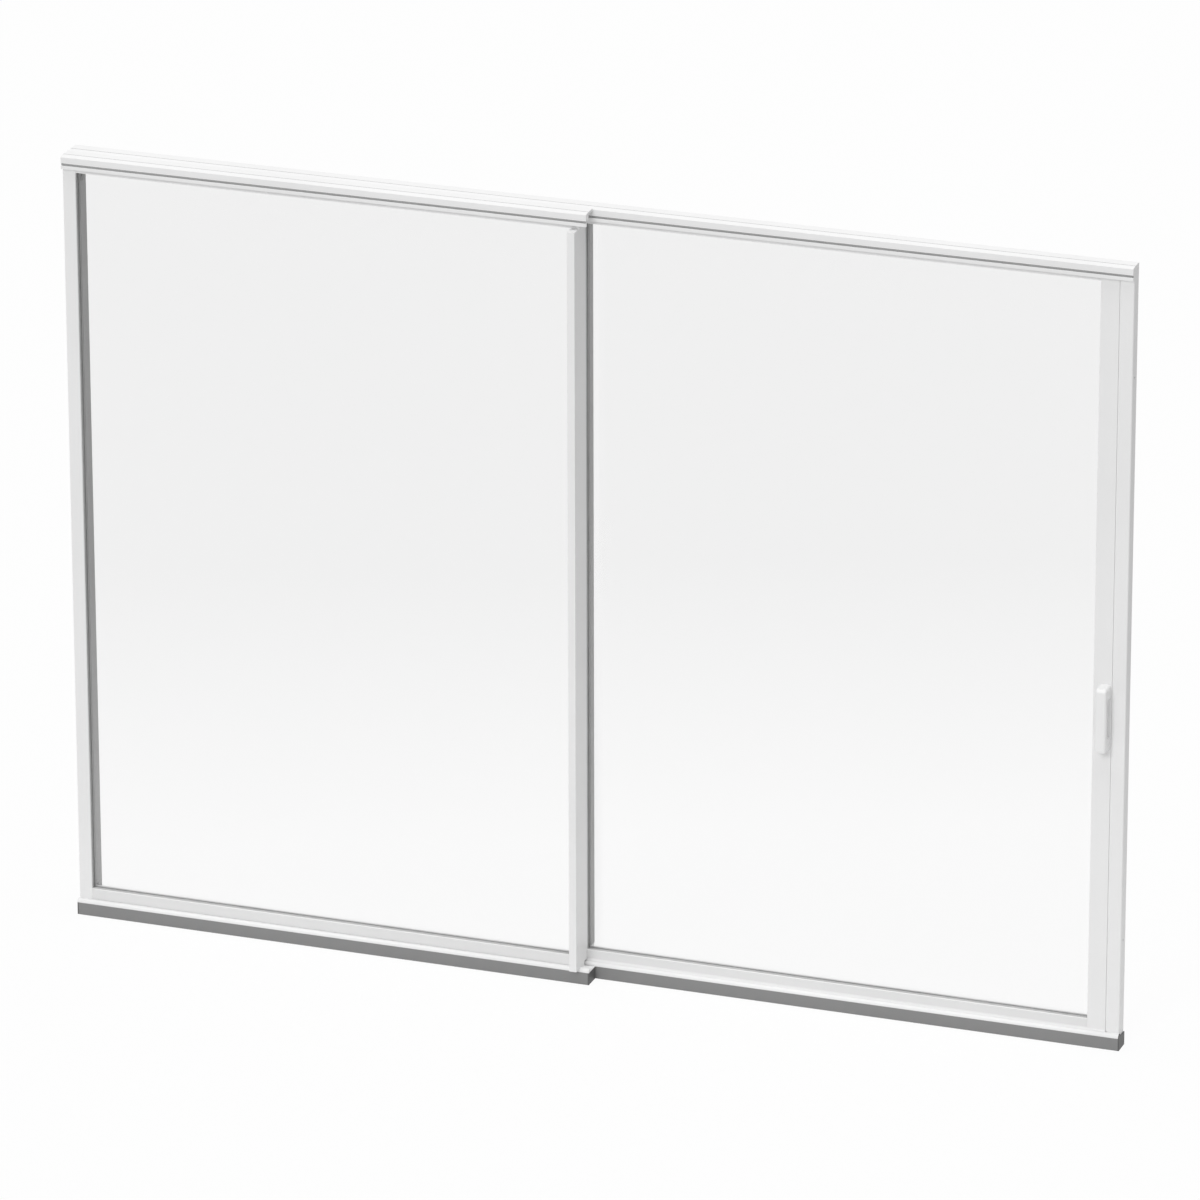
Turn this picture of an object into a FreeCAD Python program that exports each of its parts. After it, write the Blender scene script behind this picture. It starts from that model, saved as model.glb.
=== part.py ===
import FreeCAD, Part
import math
import os

# Two-bay sliding patio door, seen from outside.
# The left bay is fixed, on a front track. The right panel slides behind it on a full-width rear track.
# Frame: +X to the right, +Y inwards, +Z up, millimetres.
# The origin is on the underside of the full-width sill, in the middle of its length and depth.

Vector = FreeCAD.Vector

# Overall frame
overall_width = 2895.0
overall_height = 2135.0
left_jamb_width = 35.0
right_jamb_width = 33.0
front_bay_overrun = 9.5
meeting_setoff = 18.0
meeting_stile_width = 20.5
lock_stile_width = 49.5

# Clearances
running_gap = 5.0
fitting_gap = 0.3
pin_gap = 0.05
shoe_gap = 0.6
glass_edge_gap = 2.0

# Panels and their glass
panel_thickness = 30.0
lip_thickness = 4.0
pocket_depth = 10.0
pane_thickness = 4.0
pane_cavity = 8.0
spacer_width = 6.0
gasket_bite = 4.0
gasket_show = 0.3
gasket_rise = 1.5
gasket_recess = 1.0
edge_round = 1.0

# Sill
sill_base_height = 34.0
sill_wall = 2.5
sill_end_thickness = 3.0
sill_cap_thickness = 2.0
sill_joint = 6.0
nosing_round = 10.0
nosing_land = 2.0
rail_rib_width = 4.0
rail_rib_height = 5.0

# Head
head_height = 36.0
head_leg_depth = 8.0
head_rear_wall = 2.0
head_web = 6.0
head_lip_height = 9.5
head_groove_height = 6.0
head_groove_depth = 5.0
head_edge_round = 1.5
nose_rise = 3.0
nose_run = 17.0
nose_box_depth = 20.0
nose_wall = 2.5
guide_rib_width = 4.0

# Rails
bottom_rail_face = 24.5
rail_web = 3.0
skirt_thickness = 3.0
top_rail_drop = 11.0
top_leg_height = 12.0

# Hollow stiles and jambs
hollow_wall = 2.5
edge_wall = 5.0
front_fin_reach = 33.0
rear_fin_reach = 27.0
fin_overlap = 3.0
interlock_leg = 5.0
fin_cap_thickness = 3.0
liner_thickness = 1.5
liner_margin = 2.0
liner_recess = 7.0
jamb_outer_round = 4.0

# Handles and latch
handle_bottom = 830.0
handle_height = 176.0
handle_width = 30.0
handle_edge_inset = 2.0
outside_handle_depth = 45.0
inside_handle_depth = 34.0
handle_bar = 13.0
handle_foot = 32.0
handle_corner = 10.0
handle_inner_corner = 6.0
handle_edge_round = 7.0
latch_bottom = 880.0
latch_height = 180.0
latch_width = 20.0
latch_thickness = 2.0
latch_slot_height = 34.0
latch_slot_width = 7.0

# Rollers, guides and stops
wheel_groove_radius = 8.0
wheel_flange = 2.0
wheel_width = 8.0
wheel_groove_width = 5.0
axle_radius = 2.0
roller_inset = 160.0
roller_housing_length = 90.0
roller_slot_margin = 1.5
cheek_margin = 0.5
shoe_length = 60.0
shoe_floor = 2.0
bumper_height = 30.0
bumper_depth = 14.0
bumper_thickness = 12.5

# Screw holes in the jambs
screw_hole_radius = 3.25
screw_hole_inset = 300.0

# Two points closer than this are one corner
same_point = 0.000001

# Places across the width
half_width = overall_width / 2
frame_half = half_width - sill_end_thickness
front_bay_end = front_bay_overrun - sill_end_thickness
left_jamb_face = left_jamb_width - frame_half
left_liner_face = left_jamb_face - liner_recess
right_jamb_face = frame_half - right_jamb_width
meeting_right = -meeting_setoff
meeting_left = meeting_right - meeting_stile_width
lock_right = right_jamb_face - running_gap
lock_left = lock_right - lock_stile_width
leg_left_end = meeting_left + interlock_leg
leg_right_start = meeting_right - interlock_leg

# Places across the depth
panel_setback = head_leg_depth + running_gap
track_depth = panel_setback + panel_thickness + running_gap + head_rear_wall
rear_track = -track_depth / 2
front_track = rear_track - track_depth
jamb_setback = nosing_round + nosing_land
rear_end = rear_track + track_depth
panel_middle = panel_setback + panel_thickness / 2
sliding_front = rear_track + panel_setback
sliding_back = sliding_front + panel_thickness
fixed_front = front_track + panel_setback
fixed_back = fixed_front + panel_thickness
fixed_leg_end = sliding_front - running_gap
sliding_leg_end = fixed_back + running_gap
glass_unit = 2 * pane_thickness + pane_cavity

# Levels
cap_top = sill_base_height + sill_cap_thickness
nosing_top = sill_base_height + nosing_round
rib_top = cap_top + rail_rib_height
skirt_bottom = cap_top + running_gap
rail_bottom = nosing_top + running_gap
sight_bottom = rail_bottom + bottom_rail_face
pocket_floor = sight_bottom - pocket_depth
channel_ceiling = pocket_floor - rail_web
head_bottom = overall_height - head_height
head_web_bottom = overall_height - head_web
groove_bottom = head_bottom + head_lip_height
groove_top = groove_bottom + head_groove_height
nose_bottom = overall_height - nose_rise
sight_top = head_bottom - top_rail_drop
pocket_ceiling = sight_top + pocket_depth
panel_top = pocket_ceiling + rail_web
guide_rib_bottom = panel_top + running_gap
glass_bottom = pocket_floor + glass_edge_gap
glass_top = pocket_ceiling - glass_edge_gap
leg_bottom = nosing_top + running_gap
leg_top = head_bottom - running_gap
wheel_centre = rib_top + fitting_gap + wheel_groove_radius


def rounded_wire(corners):
    """Closed wire through (point, radius) corners, with an arc at each corner that has a radius."""
    edges = []
    joins = []
    count = len(corners)
    for index, (point, radius) in enumerate(corners):
        if radius == 0:
            joins.append((point, point))
            continue
        back = (corners[index - 1][0] - point).normalize()
        onward = (corners[(index + 1) % count][0] - point).normalize()
        half_angle = back.getAngle(onward) / 2
        reach = radius / math.tan(half_angle)
        rise = radius / math.sin(half_angle) - radius
        joins.append((point + back * reach, point + onward * reach))
        crown = point + (back + onward).normalize() * rise
        edges.append(Part.Arc(joins[-1][0], crown, joins[-1][1]).toShape())
    for index in range(count):
        leave = joins[index][1]
        arrive = joins[(index + 1) % count][0]
        if leave.distanceToPoint(arrive) > same_point:
            edges.append(Part.LineSegment(leave, arrive).toShape())
    return Part.Wire(Part.__sortEdges__(edges))


def along_x(corners, x_start, x_end):
    """Bar along X whose section has (y, z) or (y, z, radius) corners."""
    places = [(Vector(x_start, y, z), sum(radius)) for y, z, *radius in corners]
    return Part.Face(rounded_wire(places)).extrude(Vector(x_end - x_start, 0, 0))


def along_z(corners, z_start, z_end):
    """Bar along Z whose plan has (x, y) or (x, y, radius) corners."""
    places = [(Vector(x, y, z_start), sum(radius)) for x, y, *radius in corners]
    return Part.Face(rounded_wire(places)).extrude(Vector(0, 0, z_end - z_start))


def block(x_start, x_end, y_start, y_end, z_start, z_end):
    """Box between two opposite corners."""
    corner = Vector(x_start, y_start, z_start)
    return Part.makeBox(x_end - x_start, y_end - y_start, z_end - z_start, corner)


def cylinder_along_y(radius, x, y_start, y_end, z):
    """Round bar along Y."""
    return Part.makeCylinder(radius, y_end - y_start, Vector(x, y_start, z), Vector(0, 1, 0))


def on_track(track, corners):
    """Moves (depth, z, ...) corners from a track's own front plane into the frame."""
    return [(track + corner[0], *corner[1:]) for corner in corners]


def sill_base(track, x_start, x_end):
    """Hollow sill box with a web in the middle, open at its ends."""
    base = block(x_start, x_end, track, track + track_depth, 0, sill_base_height)
    chamber_depth = (track_depth - 3 * sill_wall) / 2
    for side in range(2):
        near = track + sill_wall + side * (chamber_depth + sill_wall)
        chamber = block(x_start, x_end, near, near + chamber_depth, sill_wall, sill_base_height - sill_wall)
        base = base.cut(chamber)
    return base


def sill_section(bottom, depth):
    """Outline of a sill from a level up: a quarter-round nosing in front of a flat top."""
    return [
        (0, bottom),
        (0, nosing_top, nosing_round),
        (jamb_setback, nosing_top),
        (jamb_setback, cap_top),
        (depth, cap_top),
        (depth, bottom),
    ]


def sill_ends(track, x_start, x_end):
    """The two plates that close the ends of a sill box and its cover."""
    corners = on_track(track, sill_section(0, track_depth))
    return [
        along_x(corners, x_start - sill_end_thickness, x_start),
        along_x(corners, x_end, x_end + sill_end_thickness),
    ]


def sill_cap(track, x_start, x_end, depth):
    """Flat cover of a sill box, with a quarter-round nosing along its front."""
    return along_x(on_track(track, sill_section(sill_base_height, depth)), x_start, x_end)


def head_face_corners():
    """Front of a head section, from its lip's lower edge up to the flat top."""
    return [
        (0, head_bottom, edge_round),
        (0, groove_bottom, edge_round),
        (head_groove_depth, groove_bottom),
        (head_groove_depth, groove_top),
        (0, groove_top, edge_round),
        (0, nose_bottom, head_edge_round),
        (nose_run, overall_height),
        (track_depth, overall_height),
    ]


def rear_head():
    """Full-width head channel with the guide rib of the sliding panel."""
    rib_near = panel_middle - guide_rib_width / 2
    rib_far = panel_middle + guide_rib_width / 2
    rear_face = track_depth - head_rear_wall
    corners = head_face_corners() + [
        (track_depth, head_bottom),
        (rear_face, head_bottom),
        (rear_face, head_web_bottom),
        (rib_far, head_web_bottom),
        (rib_far, guide_rib_bottom),
        (rib_near, guide_rib_bottom),
        (rib_near, head_web_bottom),
        (head_leg_depth, head_web_bottom),
        (head_leg_depth, head_bottom),
    ]
    return along_x(on_track(rear_track, corners), -frame_half, frame_half)


def front_head():
    """Head of the fixed bay: a hollow nose with a lip under it, and a web back to the full-width head."""
    corners = head_face_corners() + [
        (track_depth, head_web_bottom),
        (nose_box_depth, head_web_bottom),
        (nose_box_depth, groove_top),
        (head_leg_depth, groove_top),
        (head_leg_depth, head_bottom),
    ]
    section = along_x(on_track(front_track, corners), -frame_half, front_bay_end)
    chamber = [
        (nose_wall, groove_top + nose_wall),
        (nose_wall, nose_bottom - nose_wall),
        (nose_box_depth - nose_wall, head_web_bottom),
        (nose_box_depth - nose_wall, groove_top + nose_wall),
    ]
    inner_start = fin_cap_thickness - frame_half
    inner_end = front_bay_end - fin_cap_thickness
    return section.cut(along_x(on_track(front_track, chamber), inner_start, inner_end))


def head_end_plugs():
    """Plugs that close the ends of the head over the jambs and sit on them."""
    rib_near = panel_middle - guide_rib_width / 2
    rib_far = panel_middle + guide_rib_width / 2
    rear_face = track_depth - head_rear_wall
    rear_corners = [
        (head_leg_depth, head_bottom),
        (head_leg_depth, head_web_bottom),
        (rib_near, head_web_bottom),
        (rib_near, guide_rib_bottom),
        (rib_far, guide_rib_bottom),
        (rib_far, head_web_bottom),
        (rear_face, head_web_bottom),
        (rear_face, head_bottom),
    ]
    front_corners = [
        (head_leg_depth, head_bottom),
        (head_leg_depth, groove_top),
        (nose_box_depth, groove_top),
        (nose_box_depth, head_web_bottom),
        (track_depth, head_web_bottom),
        (track_depth, head_bottom),
    ]
    return [
        along_x(on_track(rear_track, rear_corners), -frame_half, left_jamb_face),
        along_x(on_track(rear_track, rear_corners), right_jamb_face, frame_half),
        along_x(on_track(front_track, front_corners), -frame_half, left_jamb_face),
    ]


def screw_holes(x_start, x_end, y):
    """Two installation screw holes along X, low and high in a jamb."""
    holes = []
    for level in (screw_hole_inset, overall_height - screw_hole_inset):
        hole = Part.makeCylinder(screw_hole_radius, x_end - x_start, Vector(x_start, y, level), Vector(1, 0, 0))
        holes.append(hole)
    return holes


def left_jamb():
    """Deep hollow jamb: the fixed glass sits in its front, the sliding panel passes its rear."""
    front = front_track + jamb_setback
    pocket_near = fixed_front + lip_thickness
    pocket_far = fixed_back - lip_thickness
    pocket_end = left_jamb_face - pocket_depth
    rear_face = left_liner_face - liner_thickness
    corners = [
        (-frame_half, front, edge_round),
        (left_jamb_face, front, edge_round),
        (left_jamb_face, pocket_near),
        (pocket_end, pocket_near),
        (pocket_end, pocket_far),
        (left_jamb_face, pocket_far),
        (left_jamb_face, fixed_back),
        (rear_face, fixed_back),
        (rear_face, rear_end, edge_round),
        (-frame_half, rear_end, edge_round),
    ]
    jamb = along_z(corners, cap_top, head_bottom)
    chamber_left = -frame_half + hollow_wall
    front_chamber_right = pocket_end - hollow_wall
    rear_chamber_right = rear_face - hollow_wall
    split = fixed_back - hollow_wall
    rear_chamber = (split + hollow_wall, rear_end - hollow_wall)
    jamb = jamb.cut(block(chamber_left, front_chamber_right, front + hollow_wall, split, cap_top, head_bottom))
    jamb = jamb.cut(block(chamber_left, rear_chamber_right, *rear_chamber, cap_top, head_bottom))
    for hole in screw_holes(-frame_half, rear_face, left_jamb_screw_line):
        jamb = jamb.cut(hole)
    nosing_room = block(
        -frame_half,
        left_jamb_face,
        rear_track - fitting_gap,
        rear_track + jamb_setback + fitting_gap,
        cap_top,
        nosing_top + fitting_gap,
    )
    return jamb.cut(nosing_room)


def left_jamb_liner():
    """Cover strip on the jamb's set-back inner face, stepped round the lip behind the fixed glass."""
    strip_back = left_liner_face - liner_thickness
    step_face = left_jamb_face + liner_thickness
    step_back = fixed_back + liner_thickness
    lip_near = fixed_back - lip_thickness
    strip = block(strip_back, left_liner_face, fixed_back, rear_end - liner_margin, rail_bottom, sight_top)
    step = block(strip_back, step_face, fixed_back, step_back, sight_bottom, sight_top)
    lip_cover = block(left_jamb_face, step_face, lip_near, step_back, sight_bottom, sight_top)
    return strip.fuse([step, lip_cover]).removeSplitter()


def right_jamb():
    """Hollow jamb that the lock stile closes against."""
    front = rear_track + jamb_setback
    corners = [
        (right_jamb_face, front, edge_round),
        (frame_half, front, jamb_outer_round),
        (frame_half, rear_end, edge_round),
        (right_jamb_face, rear_end, edge_round),
    ]
    jamb = along_z(corners, cap_top, head_bottom)
    chamber = (right_jamb_face + edge_wall, frame_half - hollow_wall, front + hollow_wall, rear_end - hollow_wall)
    jamb = jamb.cut(block(*chamber, cap_top, head_bottom))
    for hole in screw_holes(right_jamb_face, frame_half, right_jamb_screw_line):
        jamb = jamb.cut(hole)
    return jamb.cut(latch_recess(right_jamb_face))


def latch_recess(x_start):
    """Flush recess for a latch plate or its keeper."""
    middle = rear_track + panel_middle
    near = middle - latch_width / 2
    far = middle + latch_width / 2
    return block(x_start, x_start + latch_thickness, near, far, latch_bottom, latch_bottom + latch_height)


def latch_strip(x_start):
    """Plate with a slot for the hook of the latch."""
    middle = rear_track + panel_middle
    slot_low = latch_bottom + (latch_height - latch_slot_height) / 2
    slot = block(
        x_start,
        x_start + latch_thickness,
        middle - latch_slot_width / 2,
        middle + latch_slot_width / 2,
        slot_low,
        slot_low + latch_slot_height,
    )
    return latch_recess(x_start).cut(slot)


def bottom_rail(track, x_start, x_end, lip_end, skirt_end):
    """Rail with a glazing pocket on top, outer lips and two skirts inside them."""
    front = panel_setback
    back = panel_setback + panel_thickness
    lip_near = front + lip_thickness
    lip_far = back - lip_thickness
    skirt_near = lip_near + skirt_thickness
    skirt_far = lip_far - skirt_thickness
    corners = [
        (front, lip_end, edge_round),
        (front, sight_bottom, edge_round),
        (lip_near, sight_bottom),
        (lip_near, pocket_floor),
        (lip_far, pocket_floor),
        (lip_far, sight_bottom),
        (back, sight_bottom, edge_round),
        (back, lip_end, edge_round),
        (lip_far, lip_end),
        (lip_far, skirt_end),
        (skirt_far, skirt_end),
        (skirt_far, channel_ceiling),
        (skirt_near, channel_ceiling),
        (skirt_near, skirt_end),
        (lip_near, skirt_end),
        (lip_near, lip_end),
    ]
    return along_x(on_track(track, corners), x_start, x_end)


def top_rail(track, x_start, x_end, leg_end):
    """Rail with a glazing pocket below and two legs above that straddle the guide rib."""
    front = panel_setback
    back = panel_setback + panel_thickness
    lip_near = front + lip_thickness
    lip_far = back - lip_thickness
    groove_near = lip_near + skirt_thickness
    groove_far = lip_far - skirt_thickness
    corners = [
        (front, sight_top, edge_round),
        (front, leg_end),
        (groove_near, leg_end),
        (groove_near, panel_top),
        (groove_far, panel_top),
        (groove_far, leg_end),
        (back, leg_end),
        (back, sight_top, edge_round),
        (lip_far, sight_top),
        (lip_far, pocket_ceiling),
        (lip_near, pocket_ceiling),
        (lip_near, sight_top),
    ]
    return along_x(on_track(track, corners), x_start, x_end)


def fixed_meeting_stile():
    """Stile of the fixed bay: glazing pocket, proud front fin and a hook leg behind."""
    fin_front = fixed_front - front_fin_reach
    pocket_near = fixed_front + lip_thickness
    pocket_far = fixed_back - lip_thickness
    pocket_end = meeting_left + pocket_depth
    corners = [
        (meeting_left, fin_front, edge_round),
        (meeting_right, fin_front, edge_round),
        (meeting_right, fixed_leg_end),
        (leg_right_start, fixed_leg_end),
        (leg_right_start, fixed_back),
        (meeting_left, fixed_back),
        (meeting_left, pocket_far),
        (pocket_end, pocket_far),
        (pocket_end, pocket_near),
        (meeting_left, pocket_near),
    ]
    stile = along_z(corners, cap_top, groove_top)
    inner = (meeting_left + hollow_wall, meeting_right - hollow_wall)
    stile = stile.cut(block(*inner, fin_front + hollow_wall, pocket_near - hollow_wall, cap_top, groove_top))
    narrow = (pocket_end + hollow_wall, meeting_right - hollow_wall)
    stile = stile.cut(block(*narrow, pocket_near, pocket_far, cap_top, groove_top))
    ends = [
        (fin_front, fixed_front, sight_top, groove_top),
        (fin_front, front_track - fitting_gap, cap_top, nosing_top - fin_overlap),
        (front_track - fitting_gap, fixed_front, cap_top, nosing_top + fitting_gap),
        (fixed_back, fixed_leg_end, cap_top, leg_bottom),
        (fixed_back, fixed_leg_end, leg_top, groove_top),
    ]
    for end in ends:
        stile = stile.cut(block(meeting_left, meeting_right, *end))
    return stile


def fixed_fin_caps():
    """Plugs in the open ends of the front fin."""
    inner = (meeting_left + hollow_wall, meeting_right - hollow_wall)
    depth = (fixed_front - front_fin_reach + hollow_wall, fixed_front)
    low = nosing_top + fitting_gap
    return [
        block(*inner, *depth, sight_top - fin_cap_thickness, sight_top),
        block(*inner, *depth, low, low + fin_cap_thickness),
    ]


def sliding_meeting_stile():
    """Stile of the sliding panel: glazing pocket, rear fin and a hook leg in front."""
    fin_back = sliding_back + rear_fin_reach
    pocket_near = sliding_front + lip_thickness
    pocket_far = sliding_back - lip_thickness
    pocket_end = meeting_right - pocket_depth
    corners = [
        (meeting_left, sliding_leg_end),
        (leg_left_end, sliding_leg_end),
        (leg_left_end, sliding_front),
        (meeting_right, sliding_front),
        (meeting_right, pocket_near),
        (pocket_end, pocket_near),
        (pocket_end, pocket_far),
        (meeting_right, pocket_far),
        (meeting_right, fin_back, edge_round),
        (meeting_left, fin_back, edge_round),
    ]
    stile = along_z(corners, skirt_bottom, panel_top)
    inner = (meeting_left + hollow_wall, meeting_right - hollow_wall)
    stile = stile.cut(block(*inner, pocket_far + hollow_wall, fin_back - hollow_wall, skirt_bottom, panel_top))
    narrow = (meeting_left + hollow_wall, pocket_end - hollow_wall)
    stile = stile.cut(block(*narrow, pocket_near, pocket_far, skirt_bottom, panel_top))
    ends = [
        (sliding_leg_end, sliding_front, skirt_bottom, leg_bottom),
        (sliding_leg_end, sliding_front, leg_top, panel_top),
        (sliding_front, sliding_back, skirt_bottom, rail_bottom),
        (sliding_back, fin_back, sight_top, panel_top),
    ]
    for end in ends:
        stile = stile.cut(block(meeting_left, meeting_right, *end))
    return stile


def sliding_fin_caps():
    """Plugs in the open ends of the rear fin."""
    inner = (meeting_left + hollow_wall, meeting_right - hollow_wall)
    depth = (sliding_back, sliding_back + rear_fin_reach - hollow_wall)
    return [
        block(*inner, *depth, sight_top - fin_cap_thickness, sight_top),
        block(*inner, *depth, skirt_bottom, skirt_bottom + fin_cap_thickness),
    ]


def meeting_stile_liner():
    """Cover strip on the rear fin, beside the sliding glass."""
    near = sliding_back - lip_thickness
    far = sliding_back + rear_fin_reach - liner_margin
    return block(meeting_right, meeting_right + liner_thickness, near, far, sight_bottom, sight_top)


def lock_stile():
    """Wide hollow stile with the handles and the latch."""
    pocket_near = sliding_front + lip_thickness
    pocket_far = sliding_back - lip_thickness
    pocket_end = lock_left + pocket_depth
    corners = [
        (lock_left, sliding_front, edge_round),
        (lock_right, sliding_front, edge_round),
        (lock_right, sliding_back, edge_round),
        (lock_left, sliding_back, edge_round),
        (lock_left, pocket_far),
        (pocket_end, pocket_far),
        (pocket_end, pocket_near),
        (lock_left, pocket_near),
    ]
    stile = along_z(corners, rail_bottom, panel_top)
    chamber = (
        pocket_end + hollow_wall,
        lock_right - edge_wall,
        sliding_front + hollow_wall,
        sliding_back - hollow_wall,
    )
    stile = stile.cut(block(*chamber, rail_bottom, panel_top))
    return stile.cut(latch_recess(lock_right - latch_thickness))


def glass_parts(panel_front, x_start, x_end):
    """Outer pane, inner pane and the spacer ring between them."""
    outer_face = panel_front + (panel_thickness - glass_unit) / 2
    cavity_near = outer_face + pane_thickness
    cavity_far = cavity_near + pane_cavity
    outer = block(x_start, x_end, outer_face, cavity_near, glass_bottom, glass_top)
    inner = block(x_start, x_end, cavity_far, cavity_far + pane_thickness, glass_bottom, glass_top)
    ring = block(x_start, x_end, cavity_near, cavity_far, glass_bottom, glass_top)
    middle = block(
        x_start + spacer_width,
        x_end - spacer_width,
        cavity_near,
        cavity_far,
        glass_bottom + spacer_width,
        glass_top - spacer_width,
    )
    return outer, inner, ring.cut(middle)


def rectangle_wire(x_start, x_end, y, z_start, z_end):
    """Upright rectangle across the depth."""
    points = [(x_start, z_start), (x_end, z_start), (x_end, z_end), (x_start, z_end), (x_start, z_start)]
    return Part.makePolygon([Vector(x, y, z) for x, z in points])


def gasket_ring(x_start, x_end, lip_face, glass_face, show, rise):
    """Gasket between a lip and the glass; show and rise are how far it stands into the sight opening."""
    near = min(lip_face, glass_face)
    far = max(lip_face, glass_face)
    levels = (sight_bottom - gasket_bite, sight_top + gasket_bite)
    body = block(x_start - gasket_bite, x_end + gasket_bite, near, far, *levels)
    mouths = []
    for face, low in ((lip_face, show), (glass_face, rise)):
        mouths.append(rectangle_wire(x_start + show, x_end - show, face, sight_bottom + low, sight_top - show))
    return body.cut(Part.makeLoft(mouths, True, True))


def gaskets(panel_front, x_start, x_end):
    """Outer and inner gasket rings of one panel; the outer one sheds water along the bottom."""
    panel_back = panel_front + panel_thickness
    glass_near = panel_front + (panel_thickness - glass_unit) / 2
    glass_far = glass_near + glass_unit
    outer_lip = panel_front + lip_thickness
    inner_lip = panel_back - lip_thickness
    return [
        gasket_ring(x_start, x_end, outer_lip, glass_near, gasket_show, gasket_rise),
        gasket_ring(x_start, x_end, inner_lip, glass_far, -gasket_recess, -gasket_recess),
    ]


def pull_handle(face, outward, depth):
    """D-shaped pull on one face of the lock stile; outward is -1 outside and 1 inside."""
    top = handle_bottom + handle_height
    tip = face + outward * depth
    bar_back = tip - outward * handle_bar
    corners = [
        (face, handle_bottom),
        (tip, handle_bottom, handle_corner),
        (tip, top, handle_corner),
        (face, top),
        (face, top - handle_foot),
        (bar_back, top - handle_foot, handle_inner_corner),
        (bar_back, handle_bottom + handle_foot, handle_inner_corner),
        (face, handle_bottom + handle_foot),
    ]
    right = lock_right - handle_edge_inset
    pull = along_x(corners, right - handle_width, right)
    rim = []
    for edge in pull.Edges:
        ends = [vertex.Point for vertex in edge.Vertexes]
        upright = len(ends) == 2 and abs(ends[0].z - ends[1].z) > handle_height / 2
        if upright and all(abs(point.y - tip) < fitting_gap for point in ends):
            rim.append(edge)
    return pull.makeFillet(handle_edge_round, rim)


def roller_housing(x_middle):
    """Cheeked block in the bottom rail's channel that carries one wheel."""
    middle = rear_track + panel_middle
    room = panel_thickness / 2 - lip_thickness - skirt_thickness - pin_gap
    half_length = roller_housing_length / 2
    low = rib_top + running_gap
    body = block(x_middle - half_length, x_middle + half_length, middle - room, middle + room, low, channel_ceiling)
    half_slot = wheel_groove_radius + wheel_flange + roller_slot_margin
    half_gap = wheel_width / 2 + cheek_margin
    slot = block(
        x_middle - half_slot,
        x_middle + half_slot,
        middle - half_gap,
        middle + half_gap,
        low,
        channel_ceiling,
    )
    bore = cylinder_along_y(axle_radius + pin_gap, x_middle, middle - room, middle + room, wheel_centre)
    return body.cut(slot).cut(bore)


def roller_wheel(x_middle):
    """Grooved wheel that runs on the sill's rib."""
    middle = rear_track + panel_middle
    flange_radius = wheel_groove_radius + wheel_flange
    half = wheel_width / 2
    half_groove = wheel_groove_width / 2
    wheel = cylinder_along_y(flange_radius, x_middle, middle - half, middle + half, wheel_centre)
    tread = cylinder_along_y(flange_radius, x_middle, middle - half_groove, middle + half_groove, wheel_centre)
    core = cylinder_along_y(wheel_groove_radius, x_middle, middle - half_groove, middle + half_groove, wheel_centre)
    bore = cylinder_along_y(axle_radius + pin_gap, x_middle, middle - half, middle + half, wheel_centre)
    return wheel.cut(tread.cut(core)).cut(bore)


def roller_axle(x_middle):
    """Pin through the wheel and both cheeks."""
    middle = rear_track + panel_middle
    room = panel_thickness / 2 - lip_thickness - skirt_thickness - pin_gap
    return cylinder_along_y(axle_radius, x_middle, middle - room, middle + room, wheel_centre)


def guide_shoe(x_middle):
    """Shoe in the top rail's groove, with a cheek on each side of the guide rib."""
    middle = rear_track + panel_middle
    room = panel_thickness / 2 - lip_thickness - skirt_thickness
    half_length = shoe_length / 2
    half_gap = guide_rib_width / 2 + shoe_gap
    ends = (x_middle - half_length, x_middle + half_length)
    shoe = block(*ends, middle - room, middle + room, panel_top, panel_top + top_leg_height)
    gap = block(*ends, middle - half_gap, middle + half_gap, panel_top + shoe_floor, panel_top + top_leg_height)
    return shoe.cut(gap)


def bumpers():
    """Two stops on the left jamb, low and high, in line with the open panel's hook leg."""
    left = left_liner_face
    depth = (sliding_leg_end, sliding_leg_end + bumper_depth)
    stops = []
    for low in (rail_bottom, sight_top - bumper_height):
        stops.append(block(left, left + bumper_thickness, *depth, low, low + bumper_height))
    return stops


# The screw lines run through the middle of each jamb's hollow
left_jamb_screw_line = (fixed_back + rear_end) / 2
right_jamb_screw_line = (rear_track + jamb_setback + rear_end) / 2

# Glass edges lie short of the pocket ends
glass_bite = pocket_depth - glass_edge_gap
fixed_glass = glass_parts(fixed_front, left_jamb_face - glass_bite, meeting_left + glass_bite)
sliding_glass = glass_parts(sliding_front, meeting_right - glass_bite, lock_left + glass_bite)

# Rollers stand the same distance in from both ends of the bottom rail
roller_places = {"left": meeting_right + roller_inset, "right": lock_left - roller_inset}

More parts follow.
